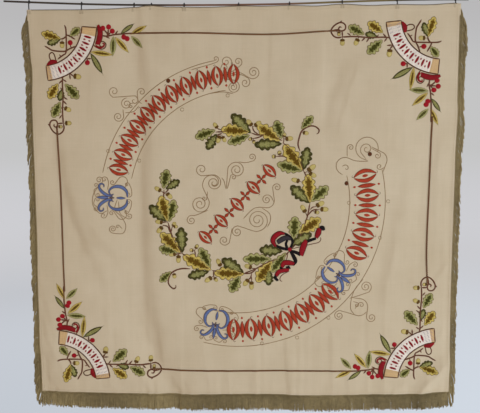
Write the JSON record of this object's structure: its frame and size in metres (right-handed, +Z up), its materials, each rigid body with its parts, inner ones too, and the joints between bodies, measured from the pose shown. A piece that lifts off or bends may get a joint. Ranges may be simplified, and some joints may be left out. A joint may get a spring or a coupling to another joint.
{
  "type": "society banner with hanging rod and wire hooks",
  "caption": "Square embroidered cloth banner with a bullion fringe on its sides and foot, hung by wire pin hooks from a thin sagging rod.",
  "frame": {"origin": "on the rod's axis above the middle of the cloth, where the rod sags lowest", "axes": "+X along the rod to the viewer's right, +Y from the worked face through to the back, +Z up"},
  "size_m": [1.4391, 0.0237, 1.3319],
  "materials": {
    "rod_metal": "dull, dark brown patina",
    "hook_wire": "darkened wire",
    "cloth": "cream silk rep, faintly ribbed, creased",
    "fringe_yarn": "twisted bullion strands, dull old gold",
    "embroidery_thread": "silk satin stitch and stem stitch"
  },
  "bodies": {
    "root": {"rod": "rod_metal", "hook_1": "hook_wire", "hook_2": "hook_wire", "hook_3": "hook_wire", "hook_4": "hook_wire", "hook_5": "hook_wire", "hook_6": "hook_wire", "hook_7": "hook_wire", "hook_8": "hook_wire", "hook_9": "hook_wire", "hook_10": "hook_wire", "banner_cloth": "cloth", "fringe_bottom": "fringe_yarn", "fringe_left": "fringe_yarn", "fringe_right": "fringe_yarn"}
  },
  "joints": []
}
